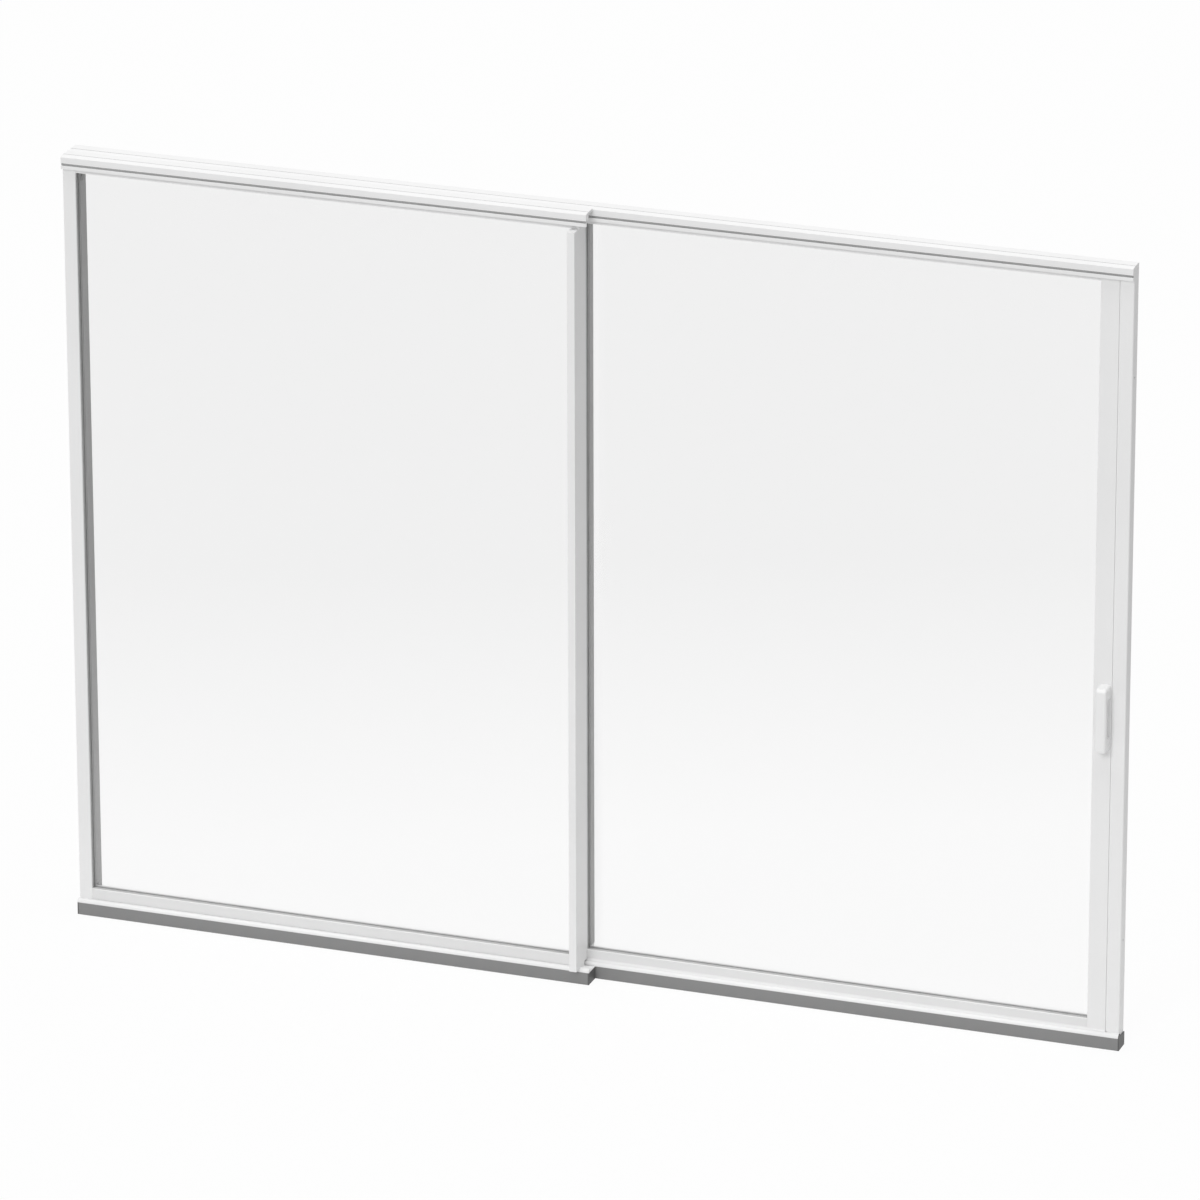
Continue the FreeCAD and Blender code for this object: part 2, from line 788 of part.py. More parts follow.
nodes = {
    "sill_base": [sill_base(rear_track, -frame_half, frame_half)],
    "front_sill_base": [sill_base(front_track, -frame_half, front_bay_end)],
    "sill_end_plates": sill_ends(rear_track, -frame_half, frame_half),
    "front_sill_end_plates": sill_ends(front_track, -frame_half, front_bay_end),
    "sill_cap": [sill_cap(rear_track, -frame_half, frame_half, track_depth)],
    "front_sill_cap": [sill_cap(front_track, -frame_half, front_bay_end, track_depth - sill_joint)],
    "roller_rail": [
        block(
            left_jamb_face,
            right_jamb_face,
            rear_track + panel_middle - rail_rib_width / 2,
            rear_track + panel_middle + rail_rib_width / 2,
            cap_top,
            rib_top,
        )
    ],
    "head": [rear_head()],
    "front_head": [front_head()],
    "head_end_plugs": head_end_plugs(),
    "left_jamb": [left_jamb()],
    "left_jamb_liner": [left_jamb_liner()],
    "right_jamb": [right_jamb()],
    "latch_keeper": [latch_strip(right_jamb_face)],
    "bumpers": bumpers(),
    "fixed_bottom_rail": [bottom_rail(front_track, left_jamb_face, meeting_left, cap_top, cap_top)],
    "fixed_top_rail": [top_rail(front_track, left_jamb_face, meeting_left, groove_top)],
    "fixed_meeting_stile": [fixed_meeting_stile()],
    "fixed_fin_caps": fixed_fin_caps(),
    "fixed_glass_outer": [fixed_glass[0]],
    "fixed_glass_inner": [fixed_glass[1]],
    "fixed_glass_spacer": [fixed_glass[2]],
    "fixed_gaskets": gaskets(fixed_front, left_jamb_face, meeting_left),
    "sliding_bottom_rail": [bottom_rail(rear_track, meeting_right, lock_left, rail_bottom, skirt_bottom)],
    "sliding_top_rail": [top_rail(rear_track, meeting_right, lock_left, panel_top + top_leg_height)],
    "sliding_meeting_stile": [sliding_meeting_stile()],
    "sliding_fin_caps": sliding_fin_caps(),
    "meeting_stile_liner": [meeting_stile_liner()],
    "lock_stile": [lock_stile()],
    "latch_plate": [latch_strip(lock_right - latch_thickness)],
    "sliding_glass_outer": [sliding_glass[0]],
    "sliding_glass_inner": [sliding_glass[1]],
    "sliding_glass_spacer": [sliding_glass[2]],
    "sliding_gaskets": gaskets(sliding_front, meeting_right, lock_left),
    "outside_handle": [pull_handle(sliding_front, -1, outside_handle_depth)],
    "inside_handle": [pull_handle(sliding_back, 1, inside_handle_depth)],
    "top_guides": [guide_shoe(place) for place in roller_places.values()],
    "roller_axles": [roller_axle(place) for place in roller_places.values()],
}
for side, place in roller_places.items():
    nodes[f"{side}_roller_housing"] = [roller_housing(place)]
    nodes[f"{side}_roller_wheel"] = [roller_wheel(place)]

os.makedirs("parts", exist_ok=True)
for name, solids in nodes.items():
    shape = solids[0] if len(solids) == 1 else Part.makeCompound(solids)
    shape.exportStep(f"parts/{name}.step")
    print(name, len(shape.Solids), round(shape.Volume), shape.isValid())
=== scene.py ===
"""Looks of a glass sliding patio door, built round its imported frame.

The frame's solids keep their shapes and get procedural finishes. The seals, beads, pile strips, plug and
screws that close and hold the door are modelled here. Lengths are metres, with +X to the right as seen from
outside, +Y inwards and +Z up.
"""

import logging
import math
from abc import ABC, abstractmethod
from dataclasses import dataclass
from enum import Enum

import bmesh
import bpy
from mathutils import Matrix, Vector


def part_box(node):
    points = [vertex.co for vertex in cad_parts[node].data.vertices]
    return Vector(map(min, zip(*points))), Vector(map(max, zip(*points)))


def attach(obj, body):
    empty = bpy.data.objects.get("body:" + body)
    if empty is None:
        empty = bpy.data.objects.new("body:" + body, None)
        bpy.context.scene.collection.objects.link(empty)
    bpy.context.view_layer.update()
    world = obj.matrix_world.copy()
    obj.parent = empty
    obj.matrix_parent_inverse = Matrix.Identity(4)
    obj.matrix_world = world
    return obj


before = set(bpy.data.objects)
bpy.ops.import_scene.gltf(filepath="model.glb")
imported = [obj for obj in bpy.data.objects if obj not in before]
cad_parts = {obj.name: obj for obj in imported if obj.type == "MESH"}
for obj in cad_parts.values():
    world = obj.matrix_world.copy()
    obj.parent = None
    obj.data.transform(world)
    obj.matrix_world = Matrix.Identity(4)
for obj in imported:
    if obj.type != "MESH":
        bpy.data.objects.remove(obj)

log = logging.getLogger("patio_door")

Colour = tuple[float, float, float]
Triple = tuple[float, float, float]
Pair = tuple[float, float]

MM = 0.001
SMOOTH_BELOW = math.radians(40.0)


class Body(Enum):
    """The two bodies of the door."""

    FRAME = "frame"
    PANEL = "sliding_panel"


class Way(Enum):
    """The way a plate faces along X."""

    LEFT = -1
    RIGHT = 1


class Slot(Enum):
    """The record's material slots, passed with the added pieces but not set on them."""

    WHITE_FRAME = "white_frame"
    GASKET_RUBBER = "gasket_rubber"
    LATCH_STEEL = "latch_steel"
    GREY_NYLON = "grey_nylon"


class Run(Enum):
    """The way a bar was drawn, as the stretch of its surface marks."""

    ALONG_X = (0.02, 1.0, 1.0)
    ALONG_Z = (1.0, 1.0, 0.02)
    EVEN = (1.0, 1.0, 1.0)


class NodeBench:
    """Wires the nodes of one tree."""

    def __init__(self, tree: bpy.types.NodeTree) -> None:
        """Takes the tree to work on."""
        self.tree = tree

    def add(self, kind: str, **settings: object) -> bpy.types.Node:
        """Adds a node.

        Args:
            kind: Blender's name of the node type.
            settings: Properties to set on the node.

        Returns:
            The new node.
        """
        node = self.tree.nodes.new(kind)
        for key, value in settings.items():
            setattr(node, key, value)
        return node

    def link(self, source: bpy.types.NodeSocket, target: bpy.types.NodeSocket) -> None:
        """Joins an output to an input."""
        self.tree.links.new(source, target)

    def maths(self, operation: str, *terms: bpy.types.NodeSocket | float) -> bpy.types.NodeSocket:
        """Works out a value from others.

        Args:
            operation: Blender's name of the operation.
            terms: Sockets or plain numbers, in turn.

        Returns:
            The result's socket.
        """
        node = self.add("ShaderNodeMath", operation=operation)
        for term, target in zip(terms, node.inputs):
            if isinstance(term, bpy.types.NodeSocket):
                self.link(term, target)
            else:
                target.default_value = term
        return node.outputs["Value"]

    def shown_share(self, path: bpy.types.Node) -> bpy.types.NodeSocket:
        """1 for rays from the camera, a mirror or a pane, and 0 for those that light the door.

        Args:
            path: The tree's light path node.

        Returns:
            The value's socket.
        """
        shown = path.outputs["Is Camera Ray"]
        for other in ("Is Glossy Ray", "Is Transmission Ray"):
            shown = self.maths("MAXIMUM", shown, path.outputs[other])
        return shown


class ShaderBench(NodeBench):
    """Wires the nodes of one procedural material.

    A mix node's colour sockets share their names with its other sockets, so they go by number.
    """

    cloud_low = 0.3
    cloud_high = 0.7
    first_colour = 6
    second_colour = 7
    blended_colour = 2

    def __init__(self, name: str) -> None:
        """Starts a material with its principled shader.

        Args:
            name: Name of the material.
        """
        self.material = bpy.data.materials.new(name)
        self.material.use_nodes = True
        super().__init__(self.material.node_tree)
        self.shader = self.tree.nodes["Principled BSDF"]
        self.output = self.tree.nodes["Material Output"]
        self.place = self.add("ShaderNodeTexCoord").outputs["Object"]

    def noise(self, size: float, detail: float, run: Run = Run.EVEN) -> bpy.types.NodeSocket:
        """Cloudy value between 0 and 1.

        Args:
            size: Size of one blotch in metres.
            detail: Number of finer layers.
            run: Way the blotches are stretched.

        Returns:
            The value's socket.
        """
        mapping = self.add("ShaderNodeMapping")
        mapping.inputs["Scale"].default_value = run.value
        self.link(self.place, mapping.inputs["Vector"])
        texture = self.add("ShaderNodeTexNoise")
        texture.inputs["Scale"].default_value = 1.0 / size
        texture.inputs["Detail"].default_value = detail
        self.link(mapping.outputs["Vector"], texture.inputs["Vector"])
        return texture.outputs["Fac"]

    def spread(self, source: bpy.types.NodeSocket, given: Pair, wanted: Pair) -> bpy.types.NodeSocket:
        """Maps one range of a value to another, held at its ends.

        Args:
            source: The value.
            given: Range of the value.
            wanted: Range of the result.

        Returns:
            The result's socket.
        """
        node = self.add("ShaderNodeMapRange")
        node.inputs["From Min"].default_value, node.inputs["From Max"].default_value = given
        node.inputs["To Min"].default_value, node.inputs["To Max"].default_value = wanted
        self.link(source, node.inputs["Value"])
        return node.outputs["Result"]

    def between(self, cloud: bpy.types.NodeSocket, low: float, high: float) -> bpy.types.NodeSocket:
        """Spreads a cloudy value's middle part over a range.

        Args:
            cloud: Value between 0 and 1.
            low: Result for a low value.
            high: Result for a high value.

        Returns:
            The spread value's socket.
        """
        return self.spread(cloud, (self.cloud_low, self.cloud_high), (low, high))

    def mixed(self, factor: bpy.types.NodeSocket, first: Colour, second: Colour) -> bpy.types.NodeSocket:
        """Blends two colours by a value.

        Args:
            factor: Value between 0 and 1.
            first: Colour at 0.
            second: Colour at 1.

        Returns:
            The blended colour's socket.
        """
        mix = self.add("ShaderNodeMix", data_type="RGBA")
        mix.inputs[self.first_colour].default_value = (*first, 1.0)
        mix.inputs[self.second_colour].default_value = (*second, 1.0)
        self.link(factor, mix.inputs["Factor"])
        return mix.outputs[self.blended_colour]

    def above(
        self,
        level: float,
        lower: bpy.types.NodeSocket,
        upper: bpy.types.NodeSocket,
    ) -> bpy.types.NodeSocket:
        """Changes one colour to another above a height.

        Args:
            level: Height of the change in metres.
            lower: Colour below it.
            upper: Colour above it.

        Returns:
            The resulting colour's socket.
        """
        height = self.add("ShaderNodeSeparateXYZ")
        self.link(self.place, height.inputs["Vector"])
        mix = self.add("ShaderNodeMix", data_type="RGBA")
        self.link(self.maths("GREATER_THAN", height.outputs["Z"], level), mix.inputs["Factor"])
        self.link(lower, mix.inputs[self.first_colour])
        self.link(upper, mix.inputs[self.second_colour])
        return mix.outputs[self.blended_colour]

    def roughen(self, marks: bpy.types.NodeSocket, middle: float, change: float) -> None:
        """Varies the shader's roughness about a middle value.

        Args:
            marks: Value between 0 and 1.
            middle: Middle roughness.
            change: How far it goes up and down.
        """
        roughness = self.between(marks, middle - change, middle + change)
        self.link(roughness, self.shader.inputs["Roughness"])

    def bump(self, heights: list[tuple[bpy.types.NodeSocket, float]], target: bpy.types.NodeSocket) -> None:
        """Stacks fine relief on a shader.

        Args:
            heights: Pairs of a value between 0 and 1 and its height in metres.
            target: Normal socket of the shader.
        """
        last = None
        for value, height in heights:
            node = self.add("ShaderNodeBump")
            node.inputs["Distance"].default_value = height
            self.link(value, node.inputs["Height"])
            if last is not None:
                self.link(last, node.inputs["Normal"])
            last = node.outputs["Normal"]
        self.link(last, target)

    def blend(
        self,
        factor: bpy.types.NodeSocket,
        first: bpy.types.NodeSocket,
        second: bpy.types.NodeSocket,
    ) -> None:
        """Shows a blend of two shaders.

        Args:
            factor: Share of the second shader.
            first: First shader.
            second: Second shader.
        """
        mix = self.add("ShaderNodeMixShader")
        for source, target in zip((factor, first, second), mix.inputs):
            self.link(source, target)
        self.link(mix.outputs["Shader"], self.output.inputs["Surface"])


class Finish(ABC):
    """A surface finish that makes its own material."""

    name: str

    def material(self) -> bpy.types.Material:
        """The finish's material, built at its first use."""
        return bpy.data.materials.get(self.name) or self.build()

    @abstractmethod
    def build(self) -> bpy.types.Material:
        """Builds the finish's material.

        Returns:
            The material.
        """


def shaded(colour: Colour, share: float) -> Colour:
    """A colour at a share of its brightness."""
    return tuple(channel * share for channel in colour)


def grey(level: float) -> Colour:
    """A neutral colour."""
    return (level, level, level)


@dataclass(frozen=True)
class PowderCoat(Finish):
    """Baked coat on a drawn or cast bar: faint orange peel over faint die lines."""

    name: str
    colour: Colour
    run: Run = Run.EVEN
    shade: float = 0.965
    roughness: float = 0.38
    roughness_change: float = 0.08
    cloud_size: float = 0.35
    cloud_detail: float = 4.0
    peel_size: float = 1.6 * MM
    peel_height: float = 0.012 * MM
    line_size: float = 2.5 * MM
    line_height: float = 0.01 * MM
    line_detail: float = 3.0

    def build(self) -> bpy.types.Material:
        """Builds the coat's material.

        Returns:
            The material.
        """
        bench = ShaderBench(self.name)
        cloud = bench.between(bench.noise(self.cloud_size, self.cloud_detail), 0.0, 1.0)
        tone = bench.mixed(cloud, shaded(self.colour, self.shade), self.colour)
        bench.link(tone, bench.shader.inputs["Base Color"])
        lines = bench.noise(self.line_size, self.line_detail, self.run)
        bench.roughen(lines, self.roughness, self.roughness_change)
        peel = bench.noise(self.peel_size, self.line_detail)
        bench.bump([(lines, self.line_height), (peel, self.peel_height)], bench.shader.inputs["Normal"])
        return bench.material


@dataclass(frozen=True)
class DrawnMetal(Finish):
    """Bare or brushed metal with marks along its run."""

    name: str
    colour: Colour
    run: Run
    shade: float = 0.85
    roughness: float = 0.34
    roughness_change: float = 0.1
    line_size: float = 0.9 * MM
    line_height: float = 0.01 * MM
    line_detail: float = 4.0

    def build(self) -> bpy.types.Material:
        """Builds the metal's material.

        Returns:
            The material.
        """
        bench = ShaderBench(self.name)
        bench.shader.inputs["Metallic"].default_value = 1.0
        lines = bench.noise(self.line_size, self.line_detail, self.run)
        tone = bench.mixed(bench.between(lines, 0.0, 1.0), shaded(self.colour, self.shade), self.colour)
        bench.link(tone, bench.shader.inputs["Base Color"])
        bench.roughen(lines, self.roughness, self.roughness_change)
        bench.bump([(lines, self.line_height)], bench.shader.inputs["Normal"])
        return bench.material


@dataclass(frozen=True)
class SoftPlastic(Finish):
    """Moulded or extruded plastic and rubber: even, matt, finely grained."""

    name: str
    colour: Colour
    run: Run = Run.EVEN
    shade: float = 0.86
    roughness: float = 0.62
    roughness_change: float = 0.08
    gloss: float = 0.35
    grain_size: float = 0.8 * MM
    grain_height: float = 0.015 * MM
    grain_detail: float = 3.0
    cloud_size: float = 0.12
    cloud_detail: float = 5.0

    def build(self) -> bpy.types.Material:
        """Builds the plastic's material.

        Returns:
            The material.
        """
        bench = ShaderBench(self.name)
        bench.shader.inputs["Specular IOR Level"].default_value = self.gloss
        bench.link(self.tone(bench), bench.shader.inputs["Base Color"])
        grain = bench.noise(self.grain_size, self.grain_detail, self.run)
        bench.roughen(grain, self.roughness, self.roughness_change)
        bench.bump([(grain, self.grain_height)], bench.shader.inputs["Normal"])
        return bench.material

    def tone(self, bench: ShaderBench) -> bpy.types.NodeSocket:
        """The plastic's colour."""
        return self.clouded(bench, self.colour)

    def clouded(self, bench: ShaderBench, colour: Colour) -> bpy.types.NodeSocket:
        """A colour that varies a little in clouds.

        Args:
            bench: Bench of the material.
            colour: The brightest tone.

        Returns:
            The colour's socket.
        """
        cloud = bench.between(bench.noise(self.cloud_size, self.cloud_detail, self.run), 0.0, 1.0)
        return bench.mixed(cloud, shaded(colour, self.shade), colour)


@dataclass(frozen=True)
class EndPlate(SoftPlastic):
    """Moulded end plate of two colours: one over the sill's box, one over its white cap."""

    # The upper colour matches the sill cap's darker white, which is painted shade.
    upper: Colour = grey(0.8)
    split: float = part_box("sill_base")[1].z

    def tone(self, bench: ShaderBench) -> bpy.types.NodeSocket:
        """The plate's colours, which change at the top of the sill's box."""
        return bench.above(self.split, self.clouded(bench, self.colour), self.clouded(bench, self.upper))


@dataclass(frozen=True)
class WindowGlass(Finish):
    """Clear pane: lets light straight through and mirrors a little, more at a glancing angle."""

    name: str
    passed: Colour = grey(0.9995)
    straight_mirror: float = 0.043
    glance_power: float = 5.0
    even_facing: float = 0.5
    roughness: float = 0.006
    smear_detail: float = 4.0
    wave_size: float = 0.22
    wave_detail: float = 1.0
    wave_height: float = 0.004 * MM

    def build(self) -> bpy.types.Material:
        """Builds the pane's material.

        Returns:
            The material.
        """
        bench = ShaderBench(self.name)
        bench.tree.nodes.remove(bench.shader)
        clear = bench.add("ShaderNodeBsdfTransparent")
        clear.inputs["Color"].default_value = (*self.passed, 1.0)
        mirror = bench.add("ShaderNodeBsdfGlossy")
        smear = bench.between(bench.noise(self.wave_size, self.smear_detail), 0.0, self.roughness)
        bench.link(smear, mirror.inputs["Roughness"])
        waves = bench.noise(self.wave_size, self.wave_detail)
        bench.bump([(waves, self.wave_height)], mirror.inputs["Normal"])
        facing_share = bench.add("ShaderNodeLayerWeight")
        facing_share.inputs["Blend"].default_value = self.even_facing
        glance = bench.maths("POWER", facing_share.outputs["Facing"], self.glance_power)
        share = bench.maths("MULTIPLY_ADD", glance, 1.0 - self.straight_mirror, self.straight_mirror)
        bench.blend(share, clear.outputs["BSDF"], mirror.outputs["BSDF"])
        return bench.material


@dataclass(frozen=True)
class Finishes:
    """All the finishes of the door."""

    bars: Finish = PowderCoat("white_coat_level", grey(0.85), Run.ALONG_X)
    # The bottom rails get a darker copy of the white coat: painted shade, for the shade that falls on them
    # low by the sill.
    painted_shade_low_bars: Finish = PowderCoat("white_coat_painted_shade_low", grey(0.78), Run.ALONG_X)
    uprights: Finish = PowderCoat("white_coat_upright", grey(0.85), Run.ALONG_Z)
    handle: Finish = PowderCoat("white_coat_handle", grey(0.86))
    # The sill cap's white coat is set darker than the frame's: painted shade that tones down its brightly
    # lit top and nosing.
    sill_cap: Finish = PowderCoat("white_coat_sill_painted_shade", grey(0.8), Run.ALONG_X, roughness=0.45)
    sill: Finish = PowderCoat("grey_sill_coat", grey(0.235), Run.ALONG_X, roughness=0.5)
    sill_end: Finish = SoftPlastic("dark_end_plate", grey(0.11), roughness=0.5)
    front_sill_end: Finish = EndPlate("capped_end_plate", grey(0.11), roughness=0.5)
    # Grey liner on the reveals behind the panes: a grey sheet put where the white frame lies in shade, so
    # it is painted shade.
    liner: Finish = SoftPlastic("grey_painted_shade_liner", grey(0.46), Run.ALONG_Z, shade=0.93)
    # The gaskets' grey is lighter than their dark rubber: painted light that lifts them in the shade of the
    # reveals and pockets.
    gasket: Finish = SoftPlastic("grey_gasket_painted_light", grey(0.45))
    # Grey bead: in the heads' groove it darkens the groove as painted shade; on the bevel it marks the
    # cover's joint.
    bead: Finish = SoftPlastic("grey_painted_shade_groove_bead", grey(0.42), Run.ALONG_X)
    spacer: Finish = SoftPlastic("grey_spacer", grey(0.45))
    nylon: Finish = SoftPlastic("grey_nylon", grey(0.5), roughness=0.45)
    pile: Finish = SoftPlastic("pale_pile", (0.72, 0.72, 0.71), roughness=0.9)
    seal: Finish = SoftPlastic("white_seal", grey(0.85), shade=0.97, roughness=0.5)
    glass: Finish = WindowGlass("window_glass")
    aluminium: Finish = DrawnMetal("bare_aluminium", (0.78, 0.79, 0.80), Run.ALONG_X)
    steel: Finish = DrawnMetal("brushed_steel", grey(0.62), Run.ALONG_Z)


@dataclass
class Strip(ABC):
    """A long piece that starts at its own origin, runs along its own +X and stands up along its own +Z."""

    length: float

    @abstractmethod
    def mesh(self, name: str, place: Matrix) -> bpy.types.Mesh:
        """Makes the strip's mesh.

        Args:
            name: Name of the mesh.
            place: Where the strip's own axes lie.

        Returns:
            The mesh.
        """


@dataclass
class ExtrudedStrip(Strip):
    """A strip of one section from end to end."""

    @abstractmethod
    def section(self) -> list[Pair]:
        """Outline of the section as (across, up) points, in turn."""

    def mesh(self, name: str, place: Matrix) -> bpy.types.Mesh:
        """Draws the section along the strip's length.

        Args:
            name: Name of the mesh.
            place: Where the strip's own axes lie.

        Returns:
            The mesh.
        """
        outline = self.section()
        bm = bmesh.new()
        ends = []
        for along in (0.0, self.length):
            ends.append([bm.verts.new(place @ Vector((along, across, up))) for across, up in outline])
        for index in range(len(outline)):
            onward = (index + 1) % len(outline)
            bm.faces.new((ends[0][index], ends[0][onward], ends[1][onward], ends[1][index]))
        for end in ends:
            bm.faces.new(end)
        return finished_mesh(name, bm)


@dataclass
class SealLip(ExtrudedStrip):
    """Soft lip: a thick foot that thins towards a round tip, which may flare out past its show side."""

    reach: float = 4.5 * MM
    foot: float = 2.4 * MM
    tip: float = 0.5 * MM
    bow: float = 0.1 * MM
    flare: float = 0.0
    flare_power: int = 3
    foot_power: int = 2
    steps: int = 8

    def section(self) -> list[Pair]:
        """Outline from the foot's show side round the tip and back.

        Returns:
            The points.
        """
        half = self.tip / 2
        straight = self.reach - half
        spare = self.foot - self.tip
        show, nose, back = [], [], []
        for step in range(self.steps + 1):
            share = step / self.steps
            turn = math.pi * share
            lean = self.flare * share**self.flare_power
            show.append((self.bow * math.sin(turn) - lean, straight * share))
            nose.append((half - half * math.cos(turn) - self.flare, straight + half * math.sin(turn)))
            back.append((self.tip + spare * (1 - share) ** self.foot_power - lean, straight * share))
        return show + nose[1:-1] + back[::-1]


@dataclass
class GrooveBead(ExtrudedStrip):
    """Half-oval bead that lies on the wall of a groove."""

    width: float = 5.4 * MM
    rise: float = 2.6 * MM
    steps: int = 14

    def section(self) -> list[Pair]:
        """Outline over the bead's back, from one edge to the other.

        Returns:
            The points.
        """
        half = self.width / 2
        turn = [math.pi * step / self.steps for step in range(self.steps + 1)]
        return [(half - half * math.cos(angle), self.rise * math.sin(angle)) for angle in turn]


@dataclass
class PileStrip(Strip):
    """Woven backing with rows of bristle tufts, whose heights repeat in a mixed order."""

    height: float = 4.5 * MM
    width: float = 4.0 * MM
    backing: float = 0.7 * MM
    pitch: float = 2.5 * MM
    tuft: float = 1.7 * MM
    tip: float = 0.75
    rows: int = 2
    row_margin: float = 0.1
    uneven: float = 0.06
    heights: int = 5
    height_skip: int = 7
    row_skip: int = 3

    def mesh(self, name: str, place: Matrix) -> bpy.types.Mesh:
        """Sets tufts along the backing, a little uneven in height.

        Args:
            name: Name of the mesh.
            place: Where the strip's own axes lie.

        Returns:
            The mesh.
        """
        points: list[Vector] = []
        faces: list[tuple[int, ...]] = []
        self._prism(points, faces, (0.0, self.length), (0.0, self.width), (0.0, self.backing), 1.0)
        row_width = self.width / self.rows
        margin = self.row_margin * row_width
        for index in range(int(self.length / self.pitch)):
            for row in range(self.rows):
                middle = (index + (row + 0.5) / self.rows) * self.pitch
                along = (middle - self.tuft / 2, middle + self.tuft / 2)
                across = (row_width * row + margin, row_width * (row + 1) - margin)
                turn = (index * self.height_skip + row * self.row_skip) % self.heights
                rise = self.height * (1.0 - self.uneven * turn / (self.heights - 1))
                self._prism(points, faces, along, across, (self.backing, rise), self.tip)
        mesh = bpy.data.meshes.new(name)
        mesh.from_pydata([place @ point for point in points], [], faces)
        mesh.validate()
        return mesh

    @staticmethod
    def _prism(
        points: list[Vector],
        faces: list[tuple[int, ...]],
        along: Pair,
        across: Pair,
        levels: Pair,
        tip: float,
    ) -> None:
        """Adds one closed four-sided prism that narrows towards its top.

        Args:
            points: Corners so far.
            faces: Faces so far.
            along: Start and end along the strip.
            across: Start and end across the strip.
            levels: Bottom and top.
            tip: Width of the top as a share of the bottom's.
        """
        first = len(points)
        middle = Vector((sum(along) / 2, sum(across) / 2, 0.0))
        corners = [(along[0], across[0]), (along[1], across[0])]
        corners += [(along[1], across[1]), (along[0], across[1])]
        for level, share in zip(levels, (1.0, tip)):
            for x, y in corners:
                point = middle + (Vector((x, y, 0.0)) - middle) * share
                point.z = level
                points.append(point)
        sides = len(corners)
        top = first + sides
        faces.append(tuple(reversed(range(first, top))))
        faces.append(tuple(range(top, top + sides)))
        for side in range(sides):
            onward = (side + 1) % sides
            faces.append((first + side, first + onward, top + onward, top + side))


@dataclass
class ScrewHead:
    """Domed screw head with a cross recess, its own +Z pointing out of the surface."""

    radius: float = 4.0 * MM
    rise: float = 1.3 * MM
    sides: int = 32
    recess_arm: float = 0.55
    recess_half_width: float = 0.14
    recess_depth: float = 0.9 * MM
    profile: tuple[Pair, ...] = ((1.0, 0.0), (1.0, 0.25), (0.94, 0.6), (0.82, 0.86), (0.68, 1.0))

    def mesh(self, name: str, places: list[Matrix]) -> bpy.types.Mesh:
        """One mesh of several like heads.

        Args:
            name: Name of the mesh.
            places: Where each head's own axes lie.

        Returns:
            The mesh.
        """
        bm = bmesh.new()
        for place in places:
            self._head(bm, place)
        return finished_mesh(name, bm)

    def _head(self, bm: bmesh.types.BMesh, place: Matrix) -> None:
        """Adds one head.

        Args:
            bm: Mesh to add to.
            place: Where the head's own axes lie.
        """
        rings = [self._ring(bm, place, share, level) for share, level in self.profile]
        for low, high in zip(rings, rings[1:]):
            for index in range(self.sides):
                onward = (index + 1) % self.sides
                bm.faces.new((low[index], low[onward], high[onward], high[index]))
        bm.faces.new(list(reversed(rings[0])))
        rim = self._cross(bm, place, self.rise)
        floor = self._cross(bm, place, self.rise - self.recess_depth)
        for index in range(len(rim)):
            onward = (index + 1) % len(rim)
            bm.faces.new((rim[onward], rim[index], floor[index], floor[onward]))
        bm.faces.new(floor)
        edges = []
        for loop in (rings[-1], rim):
            edges += [bm.edges.get((loop[index], loop[index - 1])) for index in range(len(loop))]
        bmesh.ops.bridge_loops(bm, edges=edges)

    def _ring(
        self,
        bm: bmesh.types.BMesh,
        place: Matrix,
        share: float,
        level: float,
    ) -> list[bmesh.types.BMVert]:
        """Adds one ring of the dome.

        Args:
            bm: Mesh to add to.
            place: Where the head's own axes lie.
            share: Radius as a share of the head's.
            level: Height as a share of the head's.

        Returns:
            The ring's corners, in turn.
        """
        corners = []
        for index in range(self.sides):
            angle = 2 * math.pi * index / self.sides
            point = Vector((math.cos(angle), math.sin(angle), 0.0)) * self.radius * share
            point.z = self.rise * level
            corners.append(bm.verts.new(place @ point))
        return corners

    def _cross(self, bm: bmesh.types.BMesh, place: Matrix, level: float) -> list[bmesh.types.BMVert]:
        """Adds the twelve corners of a cross.

        Args:
            bm: Mesh to add to.
            place: Where the head's own axes lie.
            level: Height of the corners.

        Returns:
            The corners, in turn.
        """
        arm = self.radius * self.recess_arm
        half = self.radius * self.recess_half_width
        corners = []
        for quarter in range(4):
            turn = Matrix.Rotation(quarter * math.pi / 2, 4, "Z")
            for x, y in ((arm, -half), (arm, half), (half, half)):
                corners.append(bm.verts.new(place @ turn @ Vector((x, y, level))))
        return corners


@dataclass
class PlateScrewHead(ScrewHead):
    """Small low head for a thin plate."""

    radius: float = 3.0 * MM
    rise: float = 0.6 * MM
    recess_depth: float = 0.5 * MM


@dataclass
class SlotPlug:
    """Moulded plug with round edges and a sunk panel in its show face, which looks along +X."""

    edge: float = 0.8 * MM
    edge_steps: int = 3
    edge_profile: float = 0.5
    border: float = 2.0 * MM
    sink: float = 0.8 * MM

    def mesh(self, name: str, low: Vector, high: Vector) -> bpy.types.Mesh:
        """Makes the plug between two corners.

        Args:
            name: Name of the mesh.
            low: Lowest corner.
            high: Highest corner.

        Returns:
            The mesh.
        """
        bm = bmesh.new()
        place = Matrix.Translation((low + high) / 2) @ Matrix.Diagonal((*(high - low), 1.0))
        bmesh.ops.create_cube(bm, size=1.0, matrix=place)
        bmesh.ops.bevel(
            bm,
            geom=bm.edges[:],
            offset=self.edge,
            segments=self.edge_steps,
            affect="EDGES",
            profile=self.edge_profile,
        )
        bm.normal_update()
        show = max(bm.faces, key=lambda face: face.calc_center_median().x)
        bmesh.ops.inset_individual(bm, faces=[show], thickness=self.border)
        bmesh.ops.inset_individual(bm, faces=[show], thickness=self.sink, depth=-self.sink)
        return finished_mesh(name, bm)


